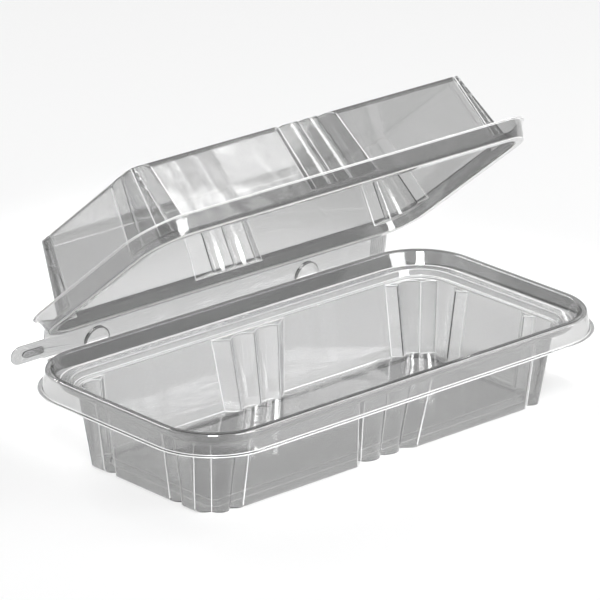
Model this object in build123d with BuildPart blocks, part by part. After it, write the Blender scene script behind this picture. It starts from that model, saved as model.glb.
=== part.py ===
from build123d import *
from math import atan2, cos, degrees, hypot, radians, sin
import os

# A clear thermoformed clamshell pack: a tray, a hinged lid and the tear strip between them.
# Origin: centre of the tray's floor, on the table. +X along the pack, +Y to the hinge side.

# Sheet
wall = 0.5
overrun = 2.0

# Tray rim, from the trimmed lip inwards; every inset is counted from the lip's edge
lip_length = 230.0
lip_width = 120.5
lip_corner = 30.0
lip_height = 32.2
lip_reach = 1.6
skirt_lean = 1.6
rim_height = 40.3
crown_width = 3.0
crown_round = 1.2
channel_lean = 2.8
ledge_height = 34.6
ledge_width = 4.5
step_lean = 1.0
shelf_height = 32.0
shelf_width = 1.4

# Tray bowl
bowl_lean = 4.6
floor_round = 1.8
panel_margin = 7.5
panel_rise = 2.5
panel_lean = 1.2
panel_corner = 5.0

# Lid rim and dome, in the lid's own plane
flange_length = 206.0
flange_width = 99.2
flange_corner = 17.0
lid_lip_height = 7.4
band_lean = 2.5
lid_lip_reach = 1.2
lid_seat_width = 3.65
dome_corner = 12.5
dome_height = 35.2
dome_lean = 7.0
dome_round = 4.0
lid_band = 4.6
seat_gap = 0.3
seat_back = 0.8

# Flutes pressed into both halves: three in each long wall and three round each corner
flute_pitch = 10.5
flute_reach = 16.0
flute_depth = 4.4
flute_crest = 1.5
corner_flute_reach = 4.0
corner_flute_depth = 3.2
tray_long_shift = 3.0
tray_end_shift = 10.0
lid_long_shift = 0.5
lid_end_shift = 5.0
flute_top_gap = 1.0
flute_root_share = 1.3
corner_bulge_share = 0.34
tray_flare_share = 1.25
lid_flare_share = 1.12

# Hinge and tear strip
hinge_length = 190.0
hinge_shift = 8.0
hinge_corner = 3.0
hinge_reach = 10.75
lid_hinge_reach = 6.5
fold_gap = 0.4
tab_reach = 17.0
tab_height = 8.0
tab_lift = 0.5
bead_length = 11.0
bead_width = 3.0
bead_rise = 0.9
moon_radius = 6.5
moon_place = 58.0
moon_rise = 1.2
grip_ribs = 8
grip_pitch = 1.1
grip_width = 0.5
grip_rise = 0.35
score_depth = 0.2
score_width = 0.5
lid_open = 39.5

# Insets of the tray's upper side
skirt_top = lip_reach + skirt_lean
crown_inner = skirt_top + crown_width
ledge_outer = crown_inner + channel_lean
ledge_inner = ledge_outer + ledge_width
step_foot = ledge_inner + step_lean
bowl_mouth = step_foot + shelf_width
floor_edge = bowl_mouth + bowl_lean
bowl_slope = bowl_lean / shelf_height
dome_slope = -dome_lean / dome_height

# The lid's dome stands inside its flat seat
dome_length = flange_length - 2 * lid_seat_width
dome_width = flange_width - 2 * lid_seat_width

# The lid's trimmed outline
trim_length = flange_length + 2 * (band_lean + lid_lip_reach)
trim_width = flange_width + 2 * (band_lean + lid_lip_reach)
trim_corner = flange_corner + band_lean + lid_lip_reach

# Folds: the closed lid fixes the strip's width, and the lid then swings open about the tray's fold
fold_y = lip_width / 2 + hinge_reach
fold_z = lip_height + wall
lid_fold_y = trim_width / 2 + lid_hinge_reach
closed_seat = ledge_height + wall + seat_gap
strip_back = lid_fold_y + seat_back - fold_y
strip_up = closed_seat + lid_lip_height - fold_z
strip_width = hypot(strip_back, strip_up)
strip_lean = atan2(strip_up, strip_back) - radians(lid_open)
open_cos = cos(radians(lid_open))
open_sin = sin(radians(lid_open))
lid_fold = Vector(0, fold_y + strip_width * cos(strip_lean), fold_z + strip_width * sin(strip_lean))
lid_back = Vector(0, open_cos, -open_sin)
lid_up = Vector(0, open_sin, open_cos)
lid_origin = lid_fold - lid_back * lid_fold_y - lid_up * lid_lip_height
lid_plane = Plane(lid_origin, x_dir=(1, 0, 0), z_dir=lid_up)
strip_plane = Plane((0, fold_y, fold_z), x_dir=(1, 0, 0), z_dir=(0, -sin(strip_lean), cos(strip_lean)))


def frustum(plane, length, width, corner, rise, slope, mode=Mode.ADD):
    """A rounded block on a plane whose sides lean out by slope for each millimetre of rise."""
    with BuildSketch(plane) as outline:
        RectangleRounded(length, width, corner)
    extrude(outline.sketch, amount=rise, taper=-degrees(atan2(slope, 1)), mode=mode)


def mid_section(plane, half_width, spread, grow):
    """Section of the three flutes in the wall on the -Y side, with two round crests between them."""
    pitch = flute_pitch * spread
    flank = (flute_reach - flute_pitch) * spread
    tilt = atan2(flute_depth, flank)
    root = -half_width + flute_depth + grow * flute_root_share
    crest = -half_width + flute_crest + grow
    end_x = pitch + flank + flank * overrun / flute_depth + grow * sin(tilt)
    end_y = -half_width - overrun + grow * cos(tilt)
    with BuildSketch(plane) as section:
        with BuildLine():
            Line((-end_x, end_y), (-pitch, root))
            ThreePointArc((-pitch, root), (-pitch / 2, crest), (0, root))
            ThreePointArc((0, root), (pitch / 2, crest), (pitch, root))
            Line((pitch, root), (end_x, end_y))
            Line((end_x, end_y), (-end_x, end_y))
        make_face()
    return section.sketch


def corner_section(plane, centre, radius, shifts, grow):
    """Section of three flutes round the +X, -Y corner: in its middle and a shift past each end of its arc."""
    front_shift, side_shift = shifts
    tilt = atan2(corner_flute_depth, corner_flute_reach)
    root = radius - corner_flute_depth - grow * flute_root_share
    run = corner_flute_reach * (1 + overrun / corner_flute_depth) + grow * sin(tilt)
    out = radius + overrun - grow * cos(tilt)
    middle = centre + Vector(0, -root).rotate(Axis.Z, 45)
    front = centre + Vector(-front_shift, -root)
    side = centre + Vector(root, side_shift)
    bulge = (middle - front).rotate(Axis.Z, -90) * corner_bulge_share
    side_bulge = (side - middle).rotate(Axis.Z, -90) * corner_bulge_share
    front_end = centre + Vector(-front_shift - run, -out)
    side_end = centre + Vector(out, side_shift + run)
    with BuildSketch(plane) as section:
        with BuildLine():
            Line(front_end, front)
            ThreePointArc(front, (front + middle) / 2 + bulge, middle)
            ThreePointArc(middle, (middle + side) / 2 + side_bulge, side)
            Line(side, side_end)
            Polyline(side_end, centre + Vector(out, -out), front_end)
        make_face()
    return section.sketch


def flutes(plane, length, width, corner, slope, ends, spreads, shifts, grow):
    """Cutters for all the flutes of a leaning wall, between two levels above the plane."""
    centre = Vector(length / 2 - corner, corner - width / 2)
    levels = [plane.offset(level) for level in ends]
    radii = [corner + slope * level for level in ends]
    corners = [corner_section(at, centre, radius, shifts, grow) for at, radius in zip(levels, radii)]
    halves = [width / 2 + slope * level for level in ends]
    mids = [mid_section(at, half, spread, grow) for at, half, spread in zip(levels, halves, spreads)]
    with BuildPart() as cutter:
        loft(corners, ruled=True)
        mirror(about=Plane(plane.origin, x_dir=plane.y_dir, z_dir=plane.x_dir))
        loft(mids, ruled=True)
        mirror(about=Plane(plane.origin, x_dir=plane.x_dir, z_dir=plane.y_dir))
    return cutter.part


def tray_ring(level, inset, rise, slope, mode):
    """A rounded block that follows the tray's lip at an inset."""
    size = (lip_length - 2 * inset, lip_width - 2 * inset, lip_corner - inset)
    frustum(Plane.XY.offset(level), *size, rise, slope, mode)


def tray_bowl(skin):
    """The hollow of the tray: its outside for a skin of 0, its inside for a skin of one wall."""
    outer = floor_edge - wall
    floor = (lip_length - 2 * outer, lip_width - 2 * outer, lip_corner - outer)
    ends = (-overrun, shelf_height - flute_top_gap + skin)
    shifts = (tray_long_shift, tray_end_shift)
    cutter = flutes(Plane.XY, *floor, bowl_slope, ends, (1, tray_flare_share), shifts, skin)
    panel = (floor[0] - 2 * panel_margin + 2 * skin, floor[1] - 2 * panel_margin + 2 * skin)
    with BuildPart() as bowl:
        tray_ring(skin, outer + skin, shelf_height + overrun, bowl_slope, Mode.ADD)
        fillet(bowl.edges().group_by(Axis.Z)[0], floor_round - skin)
        add(cutter, mode=Mode.SUBTRACT)
        frustum(Plane.XY, *panel, panel_corner, panel_rise + skin, -panel_lean / panel_rise, Mode.SUBTRACT)
    return bowl.part


def tray_form(skin):
    """Everything under the tray's sheet: up to its underside for a skin of 0, its upper side for one wall."""
    gap = wall - skin
    channel_slope = channel_lean / (rim_height - ledge_height)
    step_slope = step_lean / (ledge_height - shelf_height)
    skirt_rise = rim_height - lip_height
    bowl = tray_bowl(skin)
    with BuildPart() as form:
        tray_ring(0, 0, lip_height + skin, 0, Mode.ADD)
        tray_ring(lip_height, lip_reach + gap, skirt_rise + skin, -skirt_lean / skirt_rise, Mode.ADD)
        tray_ring(ledge_height + skin, ledge_outer - gap, skirt_rise, channel_slope, Mode.SUBTRACT)
        fillet(form.edges().group_by(Axis.Z)[-1], crown_round - gap)
        tray_ring(shelf_height + skin, step_foot - gap, ledge_height - shelf_height, step_slope, Mode.SUBTRACT)
        add(bowl, mode=Mode.SUBTRACT)
    return form.part


def lid_dome(skin):
    """The lid's dome: its inside for a skin of 0, its outside for a skin of one wall."""
    gap = wall - skin
    ends = (lid_band - gap, dome_height + overrun)
    foot = (dome_length, dome_width, dome_corner)
    inset_foot = (dome_length - 2 * gap, dome_width - 2 * gap, dome_corner - gap)
    shifts = (lid_long_shift, lid_end_shift)
    cutter = flutes(lid_plane, *foot, dome_slope, ends, (lid_flare_share, 1), shifts, gap)
    with BuildPart() as dome:
        frustum(lid_plane, *inset_foot, dome_height + skin, dome_slope)
        top = dome.faces().sort_by(Axis(lid_origin, lid_up))[-1]
        fillet(top.edges(), dome_round - gap)
        add(cutter, mode=Mode.SUBTRACT)
    return dome.part


def lid_form(skin):
    """Everything under the lid's sheet: up to its inside for a skin of 0, its outside for one wall."""
    band_slope = band_lean / lid_lip_height
    base = lid_plane.offset(-overrun)
    flange = (flange_length - 2 * skin, flange_width - 2 * skin, flange_corner - skin)
    dome = lid_dome(skin)
    with BuildPart() as form:
        frustum(base, trim_length, trim_width, trim_corner, overrun + lid_lip_height + skin, 0)
        frustum(lid_plane.offset(skin), *flange, lid_lip_height + skin, band_slope, Mode.SUBTRACT)
        add(dome)
    return form.part


def hinge_flange(plane, length, width, corner, reach):
    """A flat hinge flange along the back of a rim, out to a reach from the rim's centre line."""
    with BuildSketch(plane) as outline:
        with Locations((hinge_shift, reach / 2)):
            Rectangle(hinge_length, reach)
        fillet(outline.vertices().group_by(Axis.Y)[-1], hinge_corner)
        RectangleRounded(length, width, corner, mode=Mode.SUBTRACT)
    extrude(outline.sketch, amount=wall)


def half_moons(radius):
    """Two half circles that stand on the tray's fold."""
    with Locations((-moon_place, fold_gap), (moon_place, fold_gap)):
        Circle(radius)
    with Locations((0, fold_gap)):
        Rectangle(lip_length, 2 * radius, align=(Align.CENTER, Align.MAX), mode=Mode.SUBTRACT)


os.makedirs("parts", exist_ok=True)

# Tray with its hinge flange
tray_top = tray_form(wall)
tray_under = tray_form(0)
tray_skirt = (lip_length - 2 * lip_reach, lip_width - 2 * lip_reach, lip_corner - lip_reach)
with BuildPart() as base_tray:
    add(tray_top)
    add(tray_under, mode=Mode.SUBTRACT)
    hinge_flange(Plane.XY.offset(lip_height), *tray_skirt, fold_y - fold_gap)
base_tray.part.label = "base_tray"
export_step(base_tray.part, "parts/base_tray.step")

# Lid with its hinge flange
lid_top = lid_form(wall)
lid_under = lid_form(0)
lid_band_top = (trim_length - 2 * lid_lip_reach, trim_width - 2 * lid_lip_reach, trim_corner - lid_lip_reach)
with BuildPart() as lid:
    add(lid_top)
    add(lid_under, mode=Mode.SUBTRACT)
    hinge_flange(lid_plane.offset(lid_lip_height), *lid_band_top, lid_fold_y - fold_gap)
lid.part.label = "lid"
export_step(lid.part, "parts/lid.step")

# Tear strip between the two folds, with its pull tab, half-moon bosses, grip ribs and scored edges
strip_left = hinge_shift - hinge_length / 2
strip_right = hinge_shift + hinge_length / 2
strip_height = strip_width - 2 * fold_gap
tab_middle = fold_gap + tab_lift + tab_height / 2
with BuildPart() as tear_strip:
    with BuildSketch(strip_plane) as strip_outline:
        with Locations((hinge_shift, strip_width / 2)):
            Rectangle(hinge_length, strip_height)
        with Locations((strip_left, tab_middle)):
            SlotOverall(2 * tab_reach, tab_height)
    extrude(strip_outline.sketch, amount=-wall)
    with BuildSketch(strip_plane) as bead_outline:
        with Locations((strip_left - tab_reach + bead_length, tab_middle)):
            SlotOverall(bead_length, bead_width)
    extrude(bead_outline.sketch, amount=bead_rise)
    with BuildSketch(strip_plane) as moon_outline:
        half_moons(moon_radius)
    extrude(moon_outline.sketch, amount=-wall - moon_rise)
    with BuildSketch(strip_plane) as moon_hollow:
        half_moons(moon_radius - wall)
    extrude(moon_hollow.sketch, amount=-moon_rise, mode=Mode.SUBTRACT)
    with BuildSketch(strip_plane) as rib_outline:
        with Locations((strip_right - grip_pitch * (grip_ribs + 1) / 2, tab_middle)):
            with GridLocations(grip_pitch, grip_pitch, grip_ribs, 1):
                Rectangle(grip_width, tab_height)
    extrude(rib_outline.sketch, amount=grip_rise)
    with BuildSketch(strip_plane) as score_outline:
        with Locations((hinge_shift, tab_middle - tab_height / 2), (hinge_shift, tab_middle + tab_height / 2)):
            Rectangle(hinge_length, score_width)
    extrude(score_outline.sketch, amount=-score_depth, mode=Mode.SUBTRACT)
tear_strip.part.label = "tear_strip"
export_step(tear_strip.part, "parts/tear_strip.step")
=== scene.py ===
import math

import bmesh
import bpy
from mathutils import Matrix, Vector

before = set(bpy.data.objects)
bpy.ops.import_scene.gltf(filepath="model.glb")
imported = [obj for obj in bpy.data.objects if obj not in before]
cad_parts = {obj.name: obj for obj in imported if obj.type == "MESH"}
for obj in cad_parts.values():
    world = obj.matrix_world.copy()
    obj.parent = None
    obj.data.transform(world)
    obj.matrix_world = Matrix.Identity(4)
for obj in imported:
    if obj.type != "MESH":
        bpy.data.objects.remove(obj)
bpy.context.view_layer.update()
scene = bpy.context.scene
scene.view_settings.view_transform = "Standard"

# Camera of the photograph, solved from the pack's rim, floor and roof corners
VIEW_AZIMUTH = math.radians(42.81)
VIEW_ELEVATION = math.radians(22.01)
VIEW_ROLL = math.radians(0.49)
VIEW_DISTANCE = 2.0355
VIEW_END = 50.0
FOCAL_PIXELS = 4987.0
PICTURE_PIXELS = 600.0
ORIGIN_PIXEL = (319.74, 430.11)
SENSOR = 36.0

# Clear sheet: its tint, the share of light that goes straight through, its grey in depth and its gloss
SHEET_TINT = (0.95, 0.952, 0.95, 1.0)
SHEET_CLARITY = 0.985
SHEET_IOR = 1.57
SHEET_GREY = (0.3, 0.3, 0.3, 1.0)
SHEET_DENSITY = 1200.0
GLOSS_WEIGHT = 1.0
GLOSS_ROUGHNESS = 0.1
GLOSS_IOR = 2.0

# Share of a lamp's light that one face of the sheet lets fall on what is behind it
SHADE_PASS = (0.75, 0.75, 0.75, 1.0)

# Ripples that forming drew into the sheet, long in its height, and a fine haze over its gloss
RIPPLE_STRETCH = (1.0, 1.0, 0.25)
RIPPLE_SCALE = 55.0
RIPPLE_DETAIL = 1.5
RIPPLE_TWIST = 0.4
RIPPLE_STRENGTH = 0.4
RIPPLE_DEPTH = 0.0007
HAZE_SCALE = 240.0
HAZE_DETAIL = 3.0
HAZE_STOPS = ((0.3, 0.02), (0.75, 0.07))

# Folds painted white as a highlight: how clear the painted highlight is, and for each piece how wide the
# folds are and their least turn in degrees
FOLD_CLARITY = 0.0
FOLD_STEPS = 2
FOLD_SLOT = 1
FOLDS = {"base_tray": (0.00023, 17.0), "lid": (0.00022, 20.0), "tear_strip": (0.00006, 28.0)}
WELD_REACH = 0.00001

# White table: its half side, its level just under the foot, its paint and the share of white that is its own
WHITE = (1.0, 1.0, 1.0, 1.0)
TABLE_HALF = 6.0
TABLE_CELLS = 8
TABLE_LEVEL = -0.0002
TABLE_PAINT = (0.9, 0.9, 0.9, 1.0)
TABLE_GLOW = 0.5

# Studio surround: the strength of the light that it gives, and the strength that the sheet mirrors
SURROUND_FILL = 0.1
SURROUND_SHOWN = 0.35

# What the lamps point at, and how wide their light spreads
RIM = (0.0, 0.0, 0.05)
WALL = (0.0, 0.0, 0.04)
LID = (0.0, 0.0, 0.08)
TABLE_BEHIND = (0.05, 0.1, 0.0)
WIDE = math.pi
NARROW = math.radians(20.0)

# Soft boxes: name, place, target, size, watts and spread
LAMPS = (
    ("front_box", (-3.07, -3.32, 3.79), RIM, (1.3, 1.3), 275.0, WIDE),
    ("right_box", (0.3, -1.2, 0.8), RIM, (0.8, 0.8), 9.0, WIDE),
    ("side_box", (0.75, -0.47, 1.05), LID, (0.4, 0.9), 2.8, WIDE),
    ("top_box", (1.39, -0.5, 1.7), LID, (1.2, 1.2), 3.8, WIDE),
    ("back_box", (-0.1, 1.0, 1.15), LID, (0.9, 0.35), 4.0, WIDE),
    ("low_box", (0.8, -0.95, 0.11), WALL, (0.8, 0.2), 2.2, WIDE),
    ("table_spot", (0.03, 0.55, 0.42), TABLE_BEHIND, (0.2, 0.14), 0.3, NARROW),
)


def make_camera():
    """Stands where the photograph was taken and turns the middle of its frame onto the lens axis."""
    az, el = VIEW_AZIMUTH, VIEW_ELEVATION
    back = Vector((-math.sin(az) * math.cos(el), -math.cos(az) * math.cos(el), math.sin(el)))
    right = Vector((math.cos(az), -math.sin(az), 0.0))
    up = back.cross(right)
    right, up = (
        math.cos(VIEW_ROLL) * right + math.sin(VIEW_ROLL) * up,
        math.cos(VIEW_ROLL) * up - math.sin(VIEW_ROLL) * right,
    )
    aim_x = (PICTURE_PIXELS / 2 - ORIGIN_PIXEL[0]) / FOCAL_PIXELS
    aim_y = (ORIGIN_PIXEL[1] - PICTURE_PIXELS / 2) / FOCAL_PIXELS
    turned_back = (back - aim_x * right - aim_y * up).normalized()
    turned_right = (right - right.dot(turned_back) * turned_back).normalized()
    turned_up = turned_back.cross(turned_right)
    data = bpy.data.cameras.new("camera")
    data.sensor_width = SENSOR
    data.lens = FOCAL_PIXELS / PICTURE_PIXELS * SENSOR
    data.clip_end = VIEW_END
    camera = bpy.data.objects.new("camera", data)
    scene.collection.objects.link(camera)
    axes = Matrix((turned_right, turned_up, turned_back)).transposed()
    camera.matrix_world = Matrix.Translation(back * VIEW_DISTANCE) @ axes.to_4x4()
    scene.camera = camera


class Nodes:
    """A small helper that adds nodes to a tree and links them."""

    def __init__(self, tree):
        self.tree = tree

    def add(self, kind, links=None, **settings):
        """Adds a node with its settings, and links or sets its inputs."""
        node = self.tree.nodes.new(kind)
        for name, value in settings.items():
            setattr(node, name, value)
        for socket, source in (links or {}).items():
            if isinstance(source, bpy.types.NodeSocket):
                self.tree.links.new(source, node.inputs[socket])
            else:
                node.inputs[socket].default_value = source
        return node


def empty_material(name):
    """A material with an empty node tree, and the helper that fills the tree."""
    material = bpy.data.materials.new(name)
    material.use_nodes = True
    material.node_tree.nodes.clear()
    return material, Nodes(material.node_tree)


def grey_ramp(nodes, source, stops):
    """A colour ramp through grey stops given as (place, value)."""
    node = nodes.add("ShaderNodeValToRGB", {"Fac": source})
    for element, (place, value) in zip(node.color_ramp.elements, stops):
        element.position = place
        element.color = (value, value, value, 1.0)
    return node.outputs["Color"]


def shown_rays(nodes):
    """One for rays that show a surface, straight, mirrored or through the sheet, and zero for the rest."""
    path = nodes.add("ShaderNodeLightPath").outputs
    straight = nodes.add(
        "ShaderNodeMath",
        {0: path["Is Camera Ray"], 1: path["Is Transmission Ray"]},
        operation="MAXIMUM",
    ).outputs[0]
    shown = nodes.add("ShaderNodeMath", {0: straight, 1: path["Is Glossy Ray"]}, operation="MAXIMUM")
    return shown.outputs[0]


def drawn_ripples(nodes, place):
    """Normals of the slow ripples in a drawn sheet."""
    drawn = nodes.add("ShaderNodeMapping", {"Vector": place, "Scale": RIPPLE_STRETCH})
    ripple = nodes.add(
        "ShaderNodeTexNoise",
        {
            "Vector": drawn.outputs["Vector"],
            "Scale": RIPPLE_SCALE,
            "Detail": RIPPLE_DETAIL,
            "Distortion": RIPPLE_TWIST,
        },
    )
    bump = nodes.add(
        "ShaderNodeBump",
        {"Height": ripple.outputs["Fac"], "Strength": RIPPLE_STRENGTH, "Distance": RIPPLE_DEPTH},
    )
    return bump.outputs["Normal"]


def clear_sheet(name, clarity):
    """Clear formed sheet: it refracts, greys what is behind it, scatters a little and has drawn ripples."""
    material, nodes = empty_material(name)
    place = nodes.add("ShaderNodeTexCoord").outputs["Object"]
    haze = nodes.add("ShaderNodeTexNoise", {"Vector": place, "Scale": HAZE_SCALE, "Detail": HAZE_DETAIL})
    ripples = drawn_ripples(nodes, place)
    body = nodes.add(
        "ShaderNodeBsdfPrincipled",
        {
            "Base Color": SHEET_TINT,
            "Roughness": grey_ramp(nodes, haze.outputs["Fac"], HAZE_STOPS),
            "IOR": SHEET_IOR,
            "Transmission Weight": clarity,
            "Coat Weight": GLOSS_WEIGHT,
            "Coat Roughness": GLOSS_ROUGHNESS,
            "Coat IOR": GLOSS_IOR,
            "Normal": ripples,
            "Coat Normal": ripples,
        },
    )
    lamp_ray = nodes.add("ShaderNodeLightPath").outputs["Is Shadow Ray"]
    passed = nodes.add("ShaderNodeBsdfTransparent", {"Color": SHADE_PASS})
    surface = nodes.add("ShaderNodeMixShader", {0: lamp_ray, 1: body.outputs[0], 2: passed.outputs[0]})
    grey = nodes.add("ShaderNodeVolumeAbsorption", {"Color": SHEET_GREY, "Density": SHEET_DENSITY})
    nodes.add("ShaderNodeOutputMaterial", {"Surface": surface.outputs[0], "Volume": grey.outputs["Volume"]})
    return material


def white_table():
    """White paint that stays white in the picture and still takes the pack's shadow."""
    material, nodes = empty_material("white_table")
    paint = nodes.add("ShaderNodeBsdfDiffuse", {"Color": TABLE_PAINT})
    glow = nodes.add("ShaderNodeEmission", {"Color": WHITE, "Strength": 1.0})
    share = nodes.add("ShaderNodeMath", {0: shown_rays(nodes), 1: TABLE_GLOW}, operation="MULTIPLY")
    surface = nodes.add("ShaderNodeMixShader", {0: share.outputs[0], 1: paint.outputs[0], 2: glow.outputs[0]})
    nodes.add("ShaderNodeOutputMaterial", {"Surface": surface.outputs[0]})
    return material


def make_floor():
    """The table that the pack stands on."""
    mesh = bpy.data.meshes.new("floor")
    shape = bmesh.new()
    bmesh.ops.create_grid(shape, x_segments=TABLE_CELLS, y_segments=TABLE_CELLS, size=TABLE_HALF)
    shape.to_mesh(mesh)
    shape.free()
    floor = bpy.data.objects.new("floor", mesh)
    scene.collection.objects.link(floor)
    floor.location.z = TABLE_LEVEL
    mesh.materials.append(white_table())


def make_world():
    """Even studio surround: one grey for the light that it gives, another for what the sheet mirrors."""
    world = bpy.data.worlds.new("studio")
    scene.world = world
    world.use_nodes = True
    tree = world.node_tree
    nodes = Nodes(tree)
    strength = nodes.add(
        "ShaderNodeMapRange",
        {"Value": shown_rays(nodes), "To Min": SURROUND_FILL, "To Max": SURROUND_SHOWN},
    )
    background = tree.nodes["Background"]
    background.inputs["Color"].default_value = WHITE
    tree.links.new(strength.outputs["Result"], background.inputs["Strength"])


def soft_box(name, place, target, size, watts, spread):
    """A soft box that points at a target."""
    data = bpy.data.lights.new(name, "AREA")
    data.shape = "RECTANGLE"
    data.size, data.size_y = size
    data.energy = watts
    data.spread = spread
    light = bpy.data.objects.new(name, data)
    scene.collection.objects.link(light)
    light.location = place
    light.rotation_mode = "QUATERNION"
    light.rotation_quaternion = (Vector(target) - Vector(place)).to_track_quat("-Z", "Y")


def dress(node, sheet, painted_highlight, fold_width, fold_turn):
    """Gives a piece of the pack its clear sheet, and rounds its sharp folds and paints a white highlight on
    them.
    """
    node.data.materials.clear()
    node.data.materials.append(sheet)
    node.data.materials.append(painted_highlight)
    weld = node.modifiers.new("weld", "WELD")
    weld.merge_threshold = WELD_REACH
    fold = node.modifiers.new("fold", "BEVEL")
    fold.width = fold_width
    fold.segments = FOLD_STEPS
    fold.limit_method = "ANGLE"
    fold.angle_limit = math.radians(fold_turn)
    fold.use_clamp_overlap = False
    # The bevel faces take the opaque white material: a painted highlight along each fold
    fold.material = FOLD_SLOT
    node.modifiers.new("smooth", "WEIGHTED_NORMAL")


make_camera()
make_floor()
make_world()
for lamp in LAMPS:
    soft_box(*lamp)

clear = clear_sheet("clear_sheet", SHEET_CLARITY)
# Opaque white material for the bevelled folds: a painted highlight, not a colour of the sheet
white = clear_sheet("painted_fold_highlight", FOLD_CLARITY)
for name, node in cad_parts.items():
    dress(node, clear, white, *FOLDS[name])
